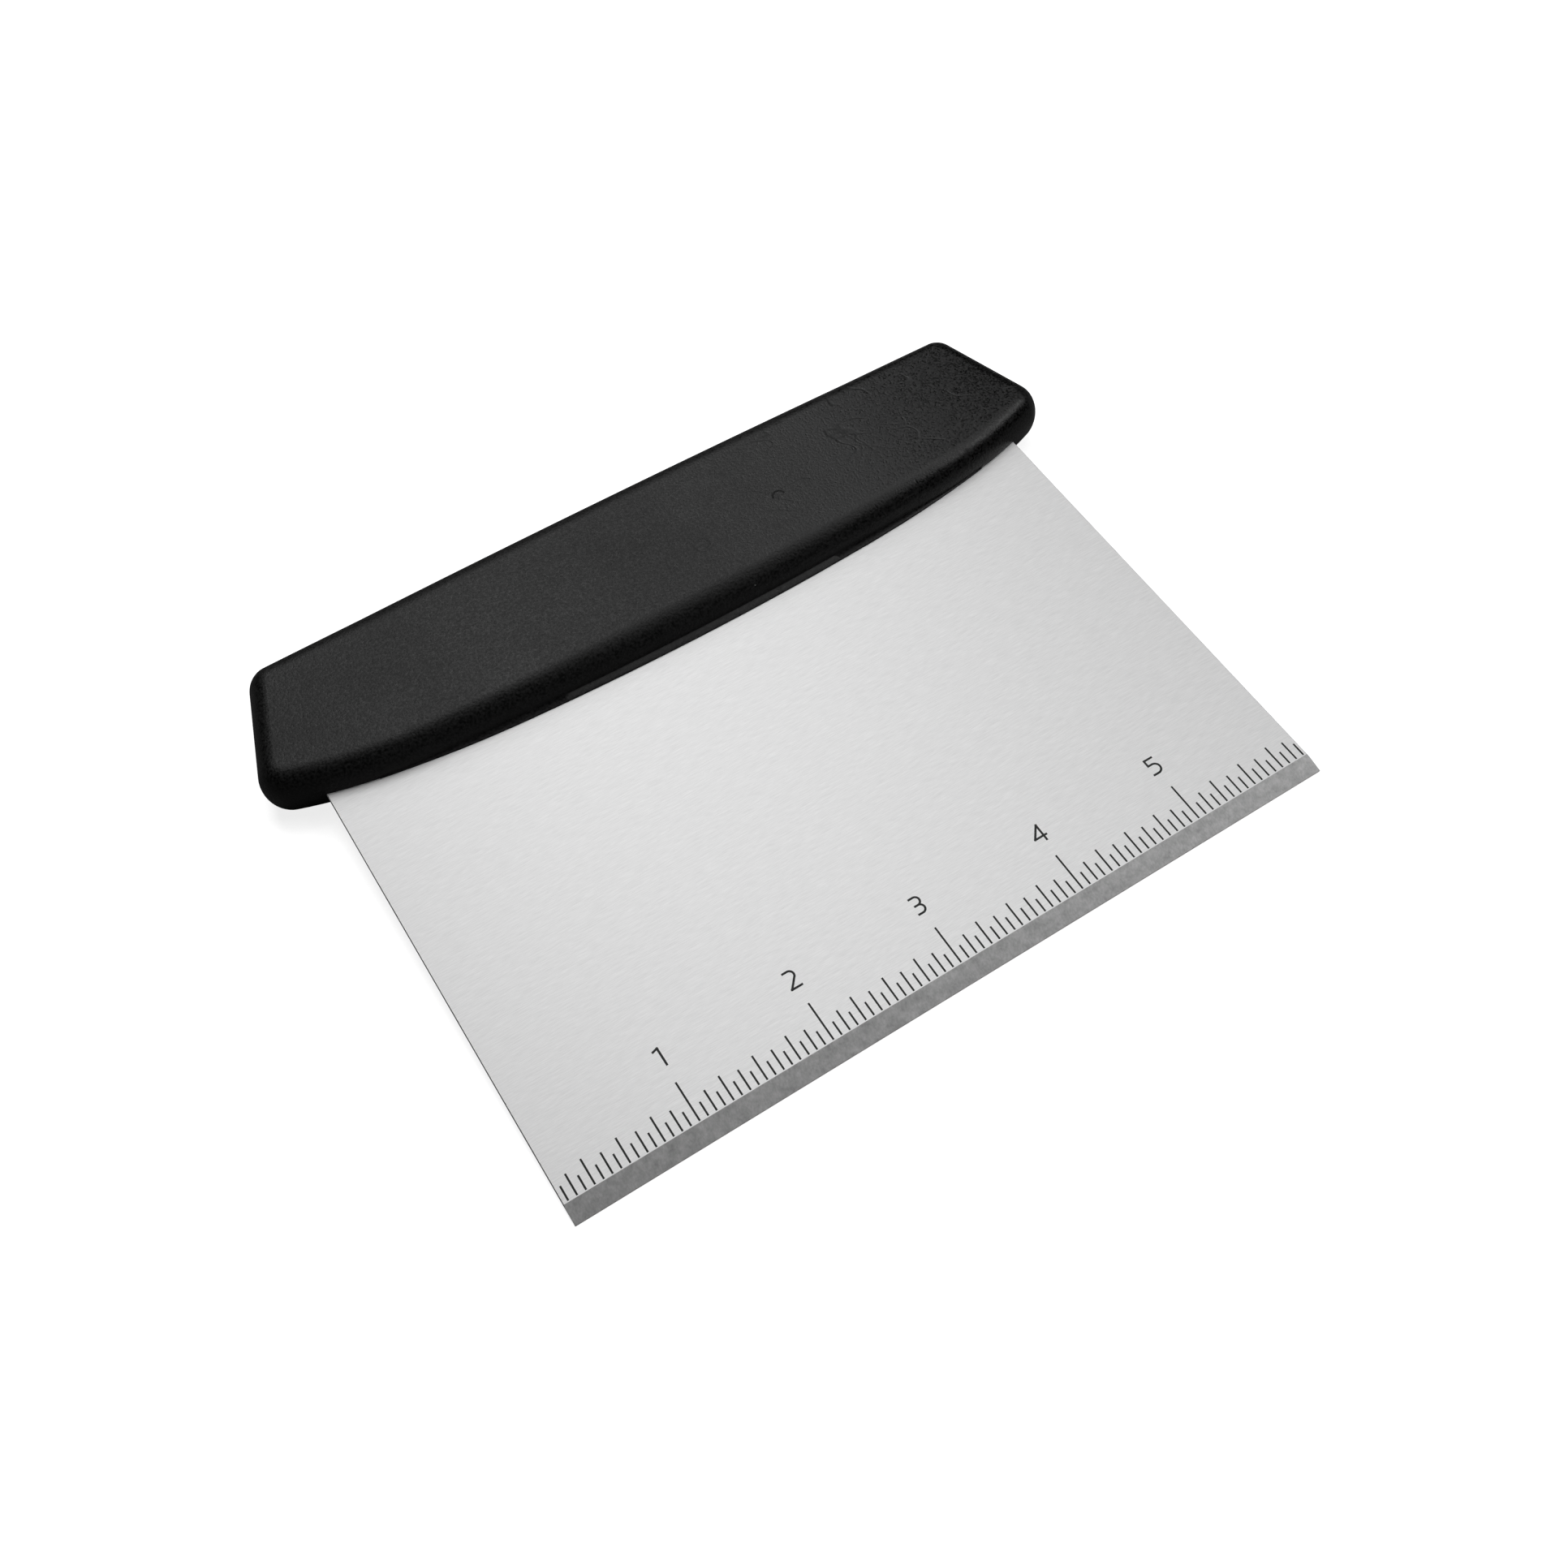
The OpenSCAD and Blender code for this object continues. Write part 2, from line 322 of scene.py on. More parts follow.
@dataclass(frozen=True)
class BrushedStainless:
    """Stainless steel sheet, brushed along its length on a belt, then ground along the edge.

    Belt brushing leaves fine lines nearly parallel to the cutting edge. They spread a highlight
    across their own direction, so the face looks even and silky, with faint streaks. The ground
    bevel has no long lines: it looks matt and a little cloudy. Its colour is darker than the face's, partly
    the grind's own finish and partly painted shade for the light that its slope catches.
    """

    face_colour: str = "#f2f2f2"
    face_level: float = 0.78  # tone of the darkest lines
    face_roughness: float = 0.6
    line_turn: float = math.radians(0.5)  # the belt ran a little off the edge's direction
    line_pitch: float = 0.17  # mm; a 180 grit belt leaves lines 0.08 mm apart, drawn coarser to show
    line_length: float = 3.4  # mm
    line_contrast: float = 0.44
    line_gloss: float = 0.06  # how much the roughness changes from line to line
    line_depth: float = 0.003  # mm
    band_pitch: float = 0.9  # mm between broader, fainter bands
    band_length: float = 9.0  # mm
    band_contrast: float = 0.02
    # partly painted shade: the grind's own dull tone, darkened further to keep the bevel dark under the
    # lights above
    bevel_colour_with_painted_shade: str = "#b3b3b3"
    bevel_level: float = 0.3  # tone of the darkest clouds
    bevel_roughness: float = 0.5
    grind_pitch: float = 0.35  # mm between grinding lines across the bevel
    grind_length: float = 0.6  # mm
    grind_turn: float = 0.2  # radians
    grind_contrast: float = 0.55
    cloud_size: float = 1.8  # mm
    cloud_contrast: float = 0.85
    bevel_w: float = 3.65  # mm
    bevel_edge: float = 0.04  # mm over which the face turns into the bevel

    def make(self) -> bpy.types.Material:
        """Make the material for the blade's CAD node.

        Returns:
            The material.
        """
        material, tree = new_material("brushed_stainless_steel")
        place = REST.blade_coordinates(tree)
        line_size = (self.line_length, self.line_pitch, self.line_pitch)
        band_size = (self.band_length, self.band_pitch, self.band_pitch)
        grind_size = (self.grind_pitch, self.grind_length, self.grind_length)
        lines = stretched_noise(tree, place, line_size, turn=self.line_turn, detail=4.0, roughness=0.75)
        bands = stretched_noise(tree, place, band_size, turn=self.line_turn, shift=7.0)
        clouds = stretched_noise(tree, place, (self.cloud_size,) * 3, detail=4.0, roughness=0.6, shift=3.0)
        grind = stretched_noise(tree, place, grind_size, turn=self.grind_turn, roughness=0.6, shift=5.0)

        across = add_node(tree, "ShaderNodeSeparateXYZ", inputs={0: place}).outputs["Y"]
        is_face = add_node(
            tree,
            "ShaderNodeMapRange",
            {"clamp": True},
            {
                "Value": across,
                "From Min": self.bevel_w - self.bevel_edge,
                "From Max": self.bevel_w + self.bevel_edge,
            },
        ).outputs[0]
        face_tone = weighted_sum(
            tree, [(lines, self.line_contrast), (bands, self.band_contrast)], self.face_level
        )
        bevel_tone = weighted_sum(
            tree, [(clouds, self.cloud_contrast), (grind, self.grind_contrast)], self.bevel_level
        )
        smoothest = self.face_roughness - self.line_gloss / 2
        face_rough = weighted_sum(tree, [(lines, self.line_gloss)], smoothest)
        face = toned(tree, self.face_colour, face_tone)
        # the bevel's colour is partly painted shade
        bevel = toned(tree, self.bevel_colour_with_painted_shade, bevel_tone)
        colour, rough, height = (
            add_node(
                tree, "ShaderNodeMix", {"data_type": kind}, {"Factor": is_face, "A": on_bevel, "B": on_face}
            ).outputs["Result"]
            for kind, on_bevel, on_face in (
                ("RGBA", bevel, face),
                ("FLOAT", self.bevel_roughness, face_rough),
                ("FLOAT", grind, lines),
            )
        )
        bump = add_node(
            tree,
            "ShaderNodeBump",
            inputs={"Height": height, "Distance": self.line_depth * MM, "Strength": 1.0},
        )
        cover(
            tree, {"Base Color": colour, "Metallic": 1.0, "Roughness": rough, "Normal": bump.outputs[0]}
        )
        return material


@dataclass(frozen=True)
class EtchFilling:
    """Dark grey oxide left in the etched marks: matt, thin, and a little uneven along each mark."""

    colour: str = "#141414"
    level: float = 0.75  # tone of the darkest patches
    roughness: float = 0.6
    ior: float = 1.5
    patch_size: float = 0.8  # mm
    patch_contrast: float = 0.5

    def make(self) -> bpy.types.Material:
        """Make the material for the filling of the scale.

        Returns:
            The material.
        """
        material, tree = new_material("etch_oxide_filling")
        place = REST.blade_coordinates(tree)
        patches = stretched_noise(tree, place, (self.patch_size,) * 3)
        tone = weighted_sum(tree, [(patches, self.patch_contrast)], self.level)
        colour = toned(tree, self.colour, tone)
        cover(tree, {"Base Color": colour, "Roughness": self.roughness, "IOR": self.ior})
        return material


@dataclass(frozen=True)
class GrainedPolypropylene:
    """Black polypropylene moulded in a spark-eroded tool.

    The tool's craters give a fine even grain: the surface looks matt black. The tiny sparks of the few
    grains that face the light are painted in as pale colour, a painted highlight. Where a hand has rubbed
    the right end, the grain is flatter and a little glossier, and fine scuffs curl across it.
    """

    pit_colour: str = "#020202"
    crest_colour: str = "#262626"  # the grain's crests are rubbed a little paler than its pits
    # painted highlight: pale colour on the few grains that would catch the light
    painted_glint_colour: str = "#8c8c8c"
    ior: float = 1.49
    specular: float = 0.4  # the grain shades itself, so it gives back less than a smooth face
    roughness: float = 0.5
    rubbed_roughness: float = 0.3
    rubbed_from: float = 0.0  # mm along the handle
    rubbed_to: float = 80.0
    grain: float = 0.45  # mm; the tool's craters are 0.1 mm wide, drawn coarser to show
    grain_depth: float = 0.09  # mm
    grain_gloss: float = 0.6  # how much the roughness changes from pits to crests
    rubbed_grain: float = 0.45  # share of the grain's depth that is left at the rubbed end
    pit_level: float = 0.35  # value of the grain's noise below which it is all pit
    crest_level: float = 0.65  # and above which it is all crest
    painted_glint_pitch: float = 0.9  # mm
    painted_glint_share: float = 0.04  # share of the cells that hold a spark
    painted_glint_size: float = 0.16  # mm
    scuff_size: tuple[float, float, float] = (13.0, 7.8, 99.0)  # mm along, across and through
    scuff_turn: float = 0.5  # radians
    scuff_width: float = 0.014  # share of the scuffs' noise that shows as a line
    scuff_depth: float = 1.2  # share of the grain's depth
    scuff_gloss: float = 0.25
    break_size: float = 7.0  # mm, patches that break the scuffs up
    break_from: float = 0.45
    break_to: float = 0.6
    flow_size: float = 16.0  # mm, patches where the melt cooled a little glossier
    flow_gloss: float = 0.12
    nick_at: tuple[float, float, float] = (26.2, 101.6, 6.0)  # mm
    nick_radius: float = 1.2  # mm
    nick_width: float = 0.22  # mm
    nick_gloss: float = 0.3

    def _scuffs(self, tree: Tree, place: Output, rubbed: Output) -> Output:
        """Draw hairlines that follow the level lines of a soft noise, on the rubbed end only.

        Args:
            tree: The tree that gets the nodes.
            place: Where on the surface, in millimetres.
            rubbed: How rubbed the surface is, from 0 to 1.

        Returns:
            How much of a scuff there is, from 0 to 1.
        """
        curls = stretched_noise(tree, place, self.scuff_size, turn=self.scuff_turn, detail=1.5, shift=2.0)
        line = line_at(tree, curls, 0.5, self.scuff_width)
        breaks = stretched_noise(tree, place, (self.break_size,) * 3, shift=11.0)
        shown = add_node(
            tree,
            "ShaderNodeMapRange",
            inputs={"Value": breaks, "From Min": self.break_from, "From Max": self.break_to},
        )
        return product(tree, line, shown.outputs[0], rubbed)

    def _nick(self, tree: Tree, place: Output) -> Output:
        """Draw one small hooked nick in the upper face.

        Args:
            tree: The tree that gets the nodes.
            place: Where on the surface, in millimetres.

        Returns:
            How deep the nick is, from 0 to 1.
        """
        away = add_node(
            tree, "ShaderNodeVectorMath", {"operation": "DISTANCE"}, {0: place, 1: self.nick_at}
        )
        line = line_at(tree, away.outputs["Value"], self.nick_radius, self.nick_width)
        across = add_node(tree, "ShaderNodeSeparateXYZ", inputs={0: place}).outputs["Y"]
        upper_half = add_node(
            tree, "ShaderNodeMath", {"operation": "GREATER_THAN"}, {0: across, 1: self.nick_at[1]}
        )
        return product(tree, line, upper_half.outputs[0])

    def _painted_glints(self, tree: Tree, place: Output) -> Output:
        """Paint a highlight as pale colour on the few grains that would face the light, one in some cells
        of a random mesh.

        Args:
            tree: The tree that gets the nodes.
            place: Where on the surface, in millimetres.

        Returns:
            Whether there is a painted highlight, 0 or 1.
        """
        cells = add_node(
            tree, "ShaderNodeTexVoronoi", inputs={"Vector": place, "Scale": 1 / self.painted_glint_pitch}
        )
        chosen, close = (
            add_node(tree, "ShaderNodeMath", {"operation": "LESS_THAN"}, {0: value, 1: limit}).outputs[0]
            for value, limit in (
                (cells.outputs["Color"], self.painted_glint_share),
                (cells.outputs["Distance"], self.painted_glint_size / self.painted_glint_pitch),
            )
        )
        return product(tree, chosen, close)

    def _colour(self, tree: Tree, place: Output, grain: Output) -> Output:
        """Colour the plastic: black pits, paler crests, and painted highlights on a few grains.

        Args:
            tree: The tree that gets the nodes.
            place: Where on the surface, in millimetres.
            grain: The grain's height, from 0 to 1.

        Returns:
            The output with the colour.
        """
        worn = add_node(
            tree,
            "ShaderNodeMapRange",
            inputs={"Value": grain, "From Min": self.pit_level, "From Max": self.crest_level},
        ).outputs[0]
        colour: Any = linear(self.pit_colour)
        # the second mix paints highlights: pale colour on a few grains
        for factor, over in ((worn, self.crest_colour), (self._painted_glints(tree, place), self.painted_glint_colour)):
            mixed = add_node(
                tree,
                "ShaderNodeMix",
                {"data_type": "RGBA"},
                {"Factor": factor, "A": colour, "B": linear(over)},
            )
            colour = mixed.outputs["Result"]
        return colour

    def make(self) -> bpy.types.Material:
        """Make the material for the handle.

        Returns:
            The material.
        """
        material, tree = new_material("grained_black_polypropylene")
        place = REST.blade_coordinates(tree)
        along = add_node(tree, "ShaderNodeSeparateXYZ", inputs={0: place}).outputs["X"]
        rubbed = add_node(
            tree,
            "ShaderNodeMapRange",
            {"interpolation_type": "SMOOTHSTEP"},
            {"Value": along, "From Min": self.rubbed_from, "From Max": self.rubbed_to},
        ).outputs[0]
        grain = stretched_noise(tree, place, (self.grain,) * 3, roughness=0.55)
        flow = stretched_noise(tree, place, (self.flow_size,) * 3, detail=3.0, shift=4.0)
        scuffs = self._scuffs(tree, place, rubbed)
        nick = self._nick(tree, place)
        rough = weighted_sum(
            tree,
            [
                (rubbed, self.rubbed_roughness - self.roughness),
                (grain, self.grain_gloss),
                (flow, self.flow_gloss),
                (scuffs, self.scuff_gloss),
                (nick, self.nick_gloss),
            ],
            self.roughness - (self.grain_gloss + self.flow_gloss) / 2,
        )
        strength = add_node(
            tree, "ShaderNodeMapRange", inputs={"Value": rubbed, "To Min": 1.0, "To Max": self.rubbed_grain}
        ).outputs[0]
        height = weighted_sum(tree, [(nick, -1.0), (scuffs, -self.scuff_depth)], grain)
        bump = add_node(
            tree,
            "ShaderNodeBump",
            inputs={"Height": height, "Distance": self.grain_depth * MM, "Strength": strength},
        )
        cover(
            tree,
            {
                "Base Color": self._colour(tree, place, grain),
                "Roughness": rough,
                "IOR": self.ior,
                "Specular IOR Level": self.specular,
                "Normal": bump.outputs[0],
            },
        )
        return material


# ---------------------------------------------------------------------------------------------
# The pieces
# ---------------------------------------------------------------------------------------------


@dataclass(frozen=True)
class OutlinePoint:
    """One point of the handle's widest line, seen from above."""

    x: float
    y: float
    normal: float  # angle of the outward normal
    reach: float  # how far the rounding reaches in from here


@dataclass
class Handle:
    """The moulded handle: a rounded body with a thin lip over the blade in front of its nose."""

    half_blade_w: float = 75.5
    overhang: float = 9.4
    depth: float = 36.3
    thickness: float = 12.0
    nose_y: float = 86.0
    nose_r: float = 750.0
    shoulder_r: float = 95.0
    shoulder_inset: float = 19.5
    end_lean: float = math.radians(18.6)
    front_corner_r: float = 5.5
    back_corner_r: float = 5.0
    back_r: float = 3050.0
    nose_round: float = 5.5
    end_round: float = 4.3
    back_round: float = 5.0
    back_blend: float = 20.0
    lip_reach: float = 1.25
    lip_t: float = 0.3
    lip_rise: float = 0.35  # how far the lip climbs from its front edge to the nose
    lip_r: float = 640.0
    lip_shoulder_r: float = 230.0
    lip_shoulder_inset: float = 37.5
    lip_end_gap: float = 9.5
    sheet_t: float = 1.0
    round_steps: int = 14  # rings from the widest line to a flat face
    nose_steps: int = 28
    shoulder_steps: int = 14
    front_corner_steps: int = 22
    back_corner_steps: int = 16
    back_steps: int = 30
    lip_steps: int = 24
    lip_shoulder_steps: int = 16
    lip_edge_turns: tuple[int, ...] = (70, 50, 30, 10)  # degrees above the middle of the lip's edge
    gate_at: tuple[float, float] = (7.7, 99.5)
    gate_profile: tuple[tuple[float, float], ...] = field(
        default=((2.0, 0.0), (1.75, -0.05), (1.5, -0.06), (1.25, 0.0), (0.9, 0.02), (0.0, 0.02))
    )  # radius and height of the ring that the gate leaves
    gate_sides: int = 40

    @staticmethod
    def _unit(angle: float) -> Vector:
        """Return the unit vector at an angle."""
        return Vector((math.cos(angle), math.sin(angle)))

    def outline(self) -> list[OutlinePoint]:
        """Work out the widest line of the body.

        Returns:
            Its points, anticlockwise from the middle of the nose.
        """
        quarter = math.pi / 2
        nose_c = Vector((0, self.nose_y + self.nose_r))
        shoulder_a = math.asin((self.half_blade_w - self.shoulder_inset) / self.nose_r) - quarter
        shoulder_c = nose_c + (self.nose_r - self.shoulder_r) * self._unit(shoulder_a)
        corner_x = self.half_blade_w + self.overhang - self.front_corner_r
        corner_dx = corner_x - shoulder_c.x
        drop = math.sqrt((self.shoulder_r - self.front_corner_r) ** 2 - corner_dx**2)
        corner_c = Vector((corner_x, shoulder_c.y - drop))
        corner_a = math.atan2(corner_c.y - shoulder_c.y, corner_dx)
        back_c = Vector((0, self.nose_y + self.depth - self.back_r))
        end_n, end_t = self._unit(self.end_lean), self._unit(self.end_lean + quarter)
        foot = end_n * (end_n.dot(corner_c) + self.front_corner_r - self.back_corner_r) - back_c
        along = foot.dot(end_t)
        run = -along + math.sqrt(along**2 - foot.dot(foot) + (self.back_r - self.back_corner_r) ** 2)
        back_corner_c = back_c + foot + run * end_t
        back_corner_a = math.atan2(back_corner_c.y - back_c.y, back_corner_c.x)

        def nose_reach(x: float) -> float:
            """Return the rounding's reach on the nose."""
            return self.end_round + (self.nose_round - self.end_round) * max(0.0, 1 - x / corner_x)

        def back_reach(x: float) -> float:
            """Return the rounding's reach on the back."""
            grown = min(1.0, max(0.0, back_corner_c.x - x) / self.back_blend)
            return self.end_round + (self.back_round - self.end_round) * grown

        def corner_reach(_x: float) -> float:
            """Return the rounding's reach on the corners."""
            return self.end_round

        arcs = (
            (nose_c, self.nose_r, -quarter, shoulder_a, self.nose_steps, nose_reach),
            (shoulder_c, self.shoulder_r, shoulder_a, corner_a, self.shoulder_steps, nose_reach),
            (
                corner_c,
                self.front_corner_r,
                corner_a,
                self.end_lean,
                self.front_corner_steps,
                corner_reach,
            ),
            (
                back_corner_c,
                self.back_corner_r,
                self.end_lean,
                back_corner_a,
                self.back_corner_steps,
                corner_reach,
            ),
            (back_c, self.back_r, back_corner_a, quarter, self.back_steps, back_reach),
        )
        half: list[OutlinePoint] = []
        for centre, radius, first, last, steps, reach in arcs:
            ends_here = centre is corner_c or centre is back_c
            for i in range(steps + 1 if ends_here else steps):
                angle = first + (last - first) * i / steps
                spot = centre + radius * self._unit(angle)
                half.append(OutlinePoint(spot.x, spot.y, angle, reach(spot.x)))
        mirrored = [OutlinePoint(-p.x, p.y, math.pi - p.normal, p.reach) for p in half[-2:0:-1]]
        return half + mirrored

    def body_mesh(self) -> bpy.types.Mesh:
        """Build the rounded body with the ring that the gate leaves on its upper face.

        Returns:
            The mesh, in metres in the blade's frame.
        """
        outline = self.outline()
        half_t = self.thickness / 2
        mesh = bmesh.new()
        rings: list[list[bmesh.types.BMVert]] = []
        count = 2 * self.round_steps
        for j in range(count + 1):
            angle = -math.pi / 2 + math.pi * j / count
            ring = []
            for p in outline:
                inward = p.reach * (1 - math.cos(angle))
                spot = Vector((p.x, p.y)) - inward * self._unit(p.normal)
                ring.append(mesh.verts.new((spot.x * MM, spot.y * MM, half_t * math.sin(angle) * MM)))
            rings.append(ring)
        around = len(outline)
        for low, high in zip(rings, rings[1:]):
            for i in range(around):
                n = (i + 1) % around
                mesh.faces.new((low[i], low[n], high[n], high[i])).smooth = True
        mesh.faces.new(tuple(reversed(rings[0])))
        self._close_upper_face(mesh, rings[-1], half_t)
        return self._finish(mesh, "handle_body")

    def _close_upper_face(
        self, mesh: bmesh.types.BMesh, rim: list[bmesh.types.BMVert], half_t: float
    ) -> None:
        """Fill the flat upper face round the gate's ring, then build the ring.

        Args:
            mesh: The body's mesh.
            rim: The last ring of the rounding.
            half_t: Height of the upper face, in millimetres.
        """
        gate_x, gate_y = self.gate_at
        loops = []
        for radius, height in self.gate_profile[:-1]:
            loop = []
            for k in range(self.gate_sides):
                spot = radius * self._unit(math.tau * k / self.gate_sides)
                loop.append(
                    mesh.verts.new(((gate_x + spot.x) * MM, (gate_y + spot.y) * MM, (half_t + height) * MM))
                )
            loops.append(loop)
        flat = rim + loops[0]
        rim_edges = [(i, (i + 1) % len(rim)) for i in range(len(rim))]
        first = len(rim)
        gate_edges = [(first + k, first + (k + 1) % self.gate_sides) for k in range(self.gate_sides)]
        plan = [Vector((v.co.x, v.co.y)) / MM for v in flat]
        _, _, triangles, _, _, _ = delaunay_2d_cdt(
            plan, rim_edges + gate_edges, [], INSIDE_OUTLINES, SAME_POINT
        )
        middle = Vector(self.gate_at)
        for triangle in triangles:
            centre = sum((plan[i] for i in triangle), Vector((0, 0))) / 3
            if (centre - middle).length > self.gate_profile[0][0] * math.cos(math.pi / self.gate_sides):
                mesh.faces.new([flat[i] for i in triangle])
        for outer, inner in zip(loops, loops[1:]):
            for k in range(self.gate_sides):
                n = (k + 1) % self.gate_sides
                mesh.faces.new((outer[k], outer[n], inner[n], inner[k])).smooth = True
        mesh.faces.new(loops[-1])

    def lip_mesh(self) -> bpy.types.Mesh:
        """Build the thin lip as a plate with a softened front edge.

        Returns:
            The mesh, in metres in the blade's frame.
        """
        lip_y = self.nose_y - self.lip_reach
        shoulder_x = self.half_blade_w - self.lip_shoulder_inset
        half_w = self.half_blade_w - self.lip_end_gap
        centre = Vector((0, lip_y + self.lip_r))
        turn = math.asin(shoulder_x / self.lip_r) - math.pi / 2
        shoulder_c = centre + (self.lip_r - self.lip_shoulder_r) * self._unit(turn)
        last = -math.acos((half_w - shoulder_c.x) / self.lip_shoulder_r)
        right: list[Vector] = []
        for i in range(self.lip_steps):
            angle = -math.pi / 2 + (turn + math.pi / 2) * i / self.lip_steps
            right.append(centre + self.lip_r * self._unit(angle))
        for i in range(self.lip_shoulder_steps + 1):
            angle = turn + (last - turn) * i / self.lip_shoulder_steps
            right.append(shoulder_c + self.lip_shoulder_r * self._unit(angle))
        front = [Vector((-p.x, p.y)) for p in reversed(right[1:])] + right
        root_y = self.nose_y + self.nose_round
        face = self.sheet_t / 2
        profile = ((self.lip_reach, face + self.lip_t + self.lip_rise), *self._lip_edge(face))
        levels = [*profile, *((y, -z) for y, z in reversed(profile))]
        mesh = bmesh.new()
        rows = [
            [mesh.verts.new((p.x * MM, (p.y + y) * MM, z * MM)) for p in front] for y, z in levels
        ]
        backs = [
            [mesh.verts.new((p.x * MM, root_y * MM, z * MM)) for p in front]
            for z in (profile[0][1], -profile[0][1])
        ]
        strips = [backs[0], *rows, backs[1]]
        for above, below in zip(strips, strips[1:]):
            for i in range(len(front) - 1):
                mesh.faces.new((above[i], below[i], below[i + 1], above[i + 1])).smooth = True
        for i in range(len(front) - 1):
            mesh.faces.new((backs[1][i], backs[0][i], backs[0][i + 1], backs[1][i + 1]))
        mesh.faces.new([strip[0] for strip in strips])
        mesh.faces.new([strip[-1] for strip in reversed(strips)])
        return self._finish(mesh, "handle_lip")

    def _lip_edge(self, face: float) -> list[tuple[float, float]]:
        """Round the lip's front edge over, from above down to the blade.

        Args:
            face: Height of the blade's face, in millimetres.

        Returns:
            Each point's distance behind the front edge, and its height.
        """
        half = self.lip_t / 2
        turns = [math.radians(a) for a in self.lip_edge_turns]
        return [(half * (1 - math.cos(a)), face + half + half * math.sin(a)) for a in turns]

    @staticmethod
    def _finish(mesh: bmesh.types.BMesh, name: str) -> bpy.types.Mesh:
        """Turn the working mesh into a Blender mesh.

        Args:
            mesh: The working mesh.
            name: The name of the new mesh.

        Returns:
            The new mesh, with its faces turned outwards.
        """
        bmesh.ops.recalc_face_normals(mesh, faces=mesh.faces)
        made = bpy.data.meshes.new(name)
        mesh.to_mesh(made)
        mesh.free()
        return made

    def build(self, finish: GrainedPolypropylene) -> bpy.types.Object:
        """Build the handle and put it in place of its CAD node.

        Args:
            finish: The plastic that it is moulded from.

        Returns:
            The handle.
        """
        body = bpy.data.objects.new("handle_moulding", self.body_mesh())
        lip = bpy.data.objects.new("handle_lip", self.lip_mesh())
        for piece in (body, lip):
            bpy.context.scene.collection.objects.link(piece)
        joined = body.modifiers.new("lip", "BOOLEAN")
        joined.operation, joined.solver, joined.object = "UNION", "EXACT", lip
        bpy.context.view_layer.update()
        evaluated = body.evaluated_get(bpy.context.evaluated_depsgraph_get())
        whole = bpy.data.meshes.new_from_object(evaluated)
        body.modifiers.clear()
        body.data = whole
        whole.transform(REST.matrix())
        bpy.data.objects.remove(lip)
        body.data.materials.clear()
        body.data.materials.append(finish.make())
        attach(body, Body.ROOT.value)
        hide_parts("handle")
        return body


@dataclass
class Blade:
    """The blade with its scale. Both are shown as they are in CAD, with their real finishes."""

    steel: BrushedStainless = field(default_factory=BrushedStainless)
    filling: EtchFilling = field(default_factory=EtchFilling)

    def dress(self) -> list[bpy.types.Object]:
        """Give the blade and its scale their finishes.

        Returns:
            The two CAD nodes.
        """
        dressed = []
        for node, slot, finish in (
            ("blade", Slot.STEEL, self.steel),
            ("scale_filling", Slot.PAINT, self.filling),
        ):
            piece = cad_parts[node]
            piece.data.materials.clear()
            piece.data.materials.append(finish.make())
            log.info("%s holds %s", slot.value, piece.data.materials[0].name)
            dressed.append(piece)
        return dressed


# ---------------------------------------------------------------------------------------------
# The studio
# ---------------------------------------------------------------------------------------------


@dataclass(frozen=True)
class Softbox:
    """A square soft light that points at the middle of the scraper's footprint."""

    name: str
    azimuth: float  # degrees from +Y towards +X
    elevation: float  # degrees above the table
    power: float  # watts
    distance: float = 1.1  # metres
    size: float = 0.5  # metres

    def build(self) -> bpy.types.Object:
        """Hang the light and point it.

        Returns:
            The light.
        """
        lamp = bpy.data.lights.new(self.name, "AREA")
        lamp.shape, lamp.size, lamp.energy = "SQUARE", self.size, self.power
        piece = bpy.data.objects.new(self.name, lamp)
        bpy.context.scene.collection.objects.link(piece)
        a, e = math.radians(self.azimuth), math.radians(self.elevation)
        away = Vector((math.sin(a) * math.cos(e), math.cos(a) * math.cos(e), math.sin(e)))
        piece.location = away * self.distance
        piece.rotation_euler = away.to_track_quat("Z", "Y").to_euler()
        return piece


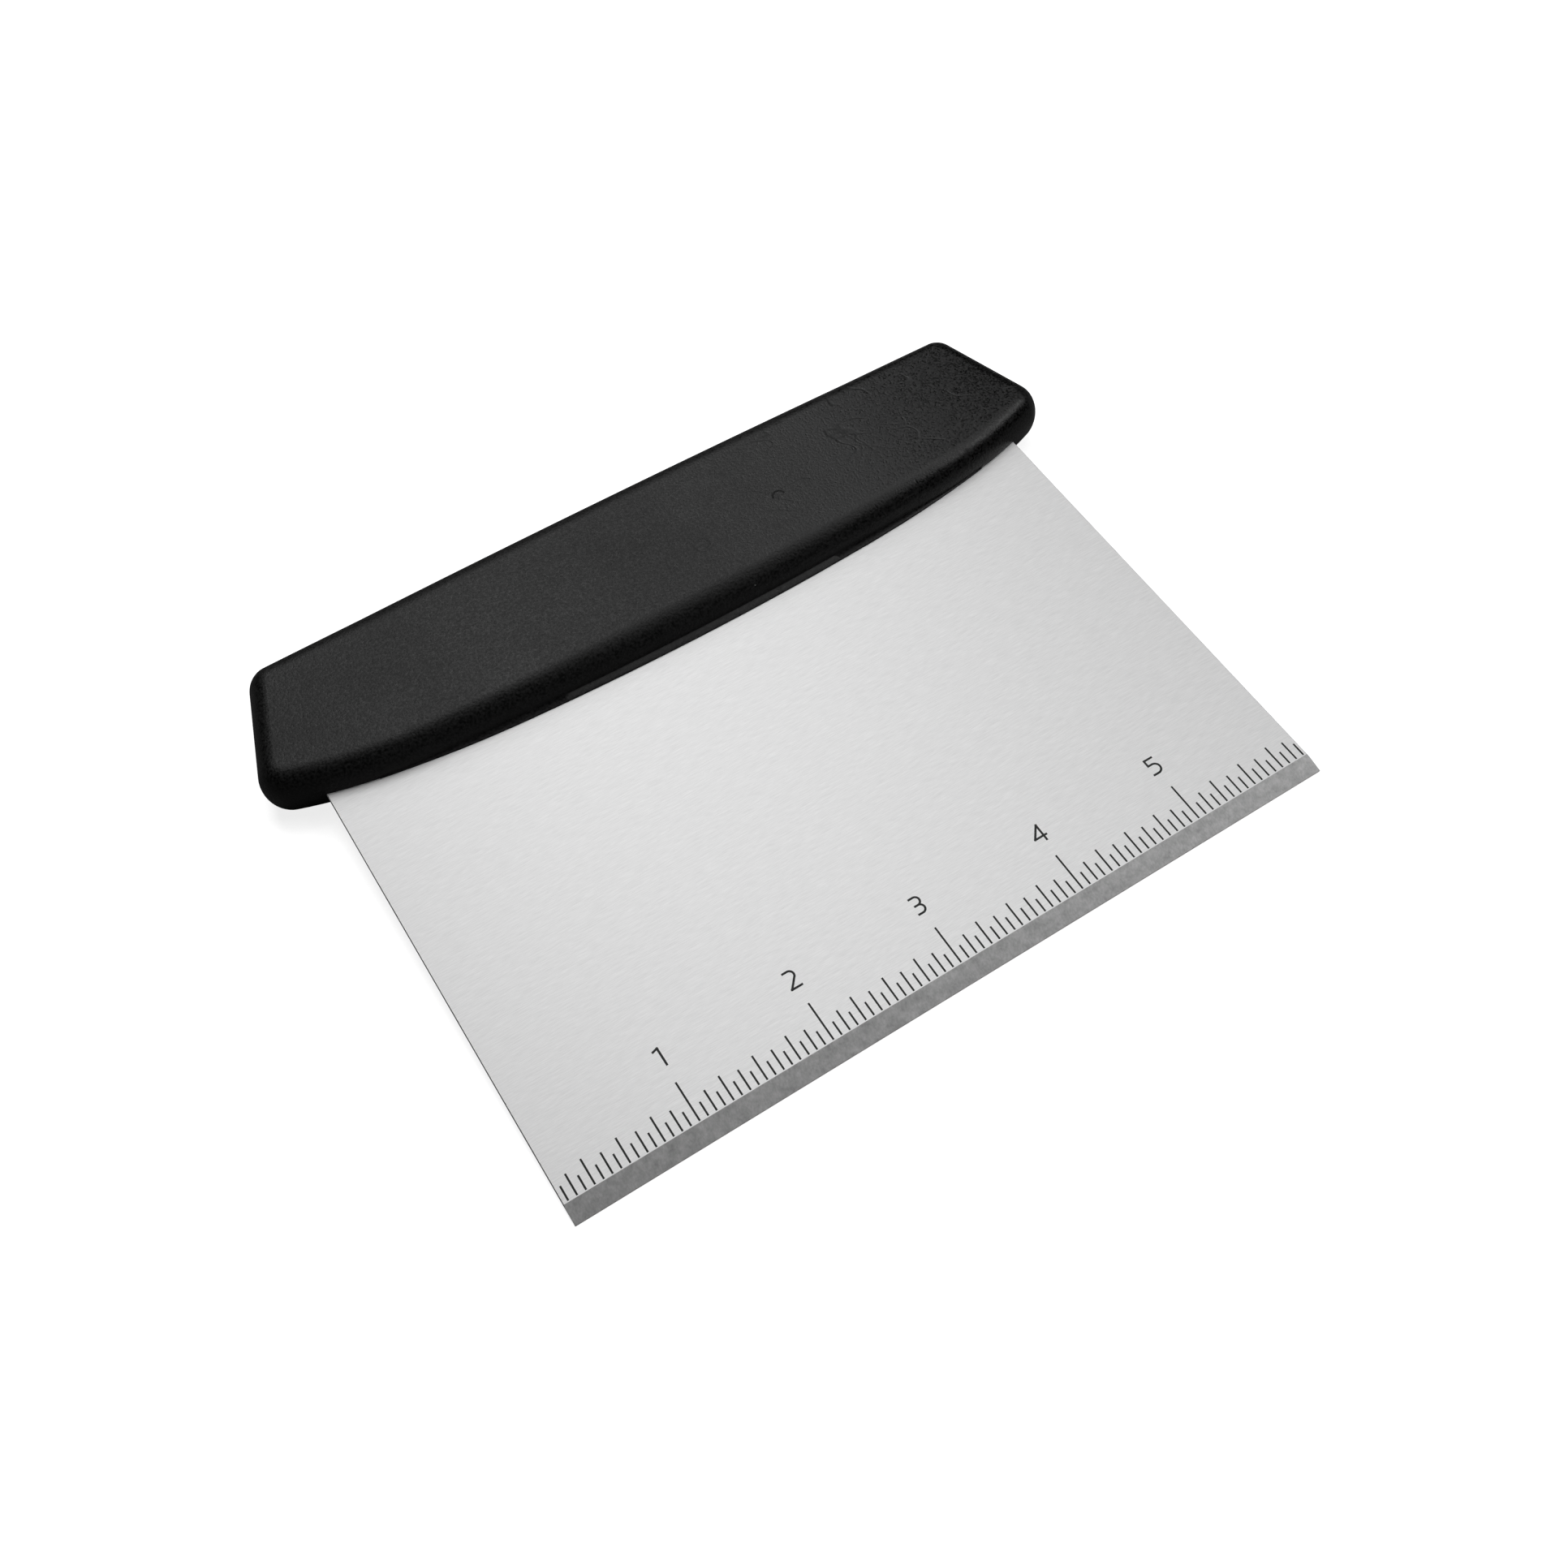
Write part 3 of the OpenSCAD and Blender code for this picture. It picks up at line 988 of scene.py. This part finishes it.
@dataclass(frozen=True)
class Studio:
    """A white table, soft lights behind, above and to the right of it, and the camera."""

    floor_colour: str = "#f7f7f7"
    floor_bounce: str = "#8a8a8a"  # what the table throws back at the scraper
    floor_glow: float = 0.82
    floor_radius: float = 3.0  # metres
    floor_sides: int = 96
    room_light: float = 0.0
    camera_at: tuple[float, float, float] = (-84.86, -159.75, 254.21)  # mm
    camera_right: tuple[float, float, float] = (0.84415, -0.53383, -0.04940)
    camera_view: tuple[float, float, float] = (0.26159, 0.49058, -0.83121)
    lens: float = 38.97  # mm
    sensor: float = 36.0  # mm
    seen_from: float = 0.01  # metres
    seen_to: float = 20.0
    lights: tuple[Softbox, ...] = (
        Softbox("back_softbox", 15.0, 45.0, 1.15),
        Softbox("high_back_softbox", 10.0, 65.0, 2.23),
        Softbox("overhead_softbox", 0.0, 88.0, 0.55),
        Softbox("high_right_softbox", 70.0, 65.0, 1.1),
        Softbox("right_softbox", 110.0, 45.0, 1.6),
    )

    def build(self) -> None:
        """Set up the table, the room, the lights and the camera."""
        self._floor()
        self._room()
        for light in self.lights:
            light.build()
        self._camera()
        settings = bpy.context.scene.view_settings
        settings.view_transform, settings.look = "Standard", "None"

    def _floor(self) -> None:
        """Lay the table: a large disc that is white to look at and throws a softer grey back."""
        mesh = bmesh.new()
        bmesh.ops.create_circle(mesh, cap_ends=True, segments=self.floor_sides, radius=self.floor_radius)
        made = bpy.data.meshes.new("table")
        mesh.to_mesh(made)
        mesh.free()
        floor = bpy.data.objects.new("table", made)
        bpy.context.scene.collection.objects.link(floor)
        material, tree = new_material("white_table")
        seen = add_node(
            tree,
            "ShaderNodeBsdfPrincipled",
            inputs={
                "Base Color": linear(self.floor_colour),
                "Roughness": 0.8,
                "Specular IOR Level": 0.0,
                "Emission Color": (1, 1, 1, 1),
                "Emission Strength": self.floor_glow,
            },
        )
        reflected = add_node(tree, "ShaderNodeBsdfDiffuse", inputs={"Color": linear(self.floor_bounce)})
        path = add_node(tree, "ShaderNodeLightPath")
        shader = add_node(
            tree,
            "ShaderNodeMixShader",
            inputs={0: path.outputs["Is Camera Ray"], 1: reflected.outputs[0], 2: seen.outputs[0]},
        )
        add_node(tree, "ShaderNodeOutputMaterial", inputs={"Surface": shader.outputs[0]})
        made.materials.append(material)

    def _room(self) -> None:
        """Keep the room dark, so that only the softboxes and the table light the scraper."""
        world = bpy.data.worlds.new("room")
        world.use_nodes = True
        tree = world.node_tree
        tree.nodes.clear()
        walls = add_node(
            tree, "ShaderNodeBackground", inputs={"Color": (1, 1, 1, 1), "Strength": self.room_light}
        )
        add_node(tree, "ShaderNodeOutputWorld", inputs={"Surface": walls.outputs[0]})
        bpy.context.scene.world = world

    def _camera(self) -> None:
        """Stand the camera where it looks down on the scraper from its cutting edge's left end."""
        view = Vector(self.camera_view).normalized()
        right = Vector(self.camera_right)
        right = (right - right.dot(view) * view).normalized()
        up = right.cross(view)
        turned = Matrix((right, up, -view)).transposed().to_4x4()
        lens = bpy.data.cameras.new("camera")
        lens.sensor_width, lens.lens = self.sensor, self.lens
        lens.clip_start, lens.clip_end = self.seen_from, self.seen_to
        camera = bpy.data.objects.new("camera", lens)
        camera.matrix_world = Matrix.Translation(Vector(self.camera_at) * MM) @ turned
        bpy.context.scene.collection.objects.link(camera)
        bpy.context.scene.camera = camera


def main() -> None:
    """Build the scraper and the studio round it."""
    logging.basicConfig(level=logging.INFO, format="%(name)s: %(message)s")
    for piece in Blade().dress():
        log.info("dressed %s, %d faces", piece.name, len(piece.data.polygons))
    handle = Handle().build(GrainedPolypropylene())
    log.info("built %s, %d faces", handle.name, len(handle.data.polygons))
    Studio().build()
    log.info("set up the studio")


if __name__ == "__main__":
    main()
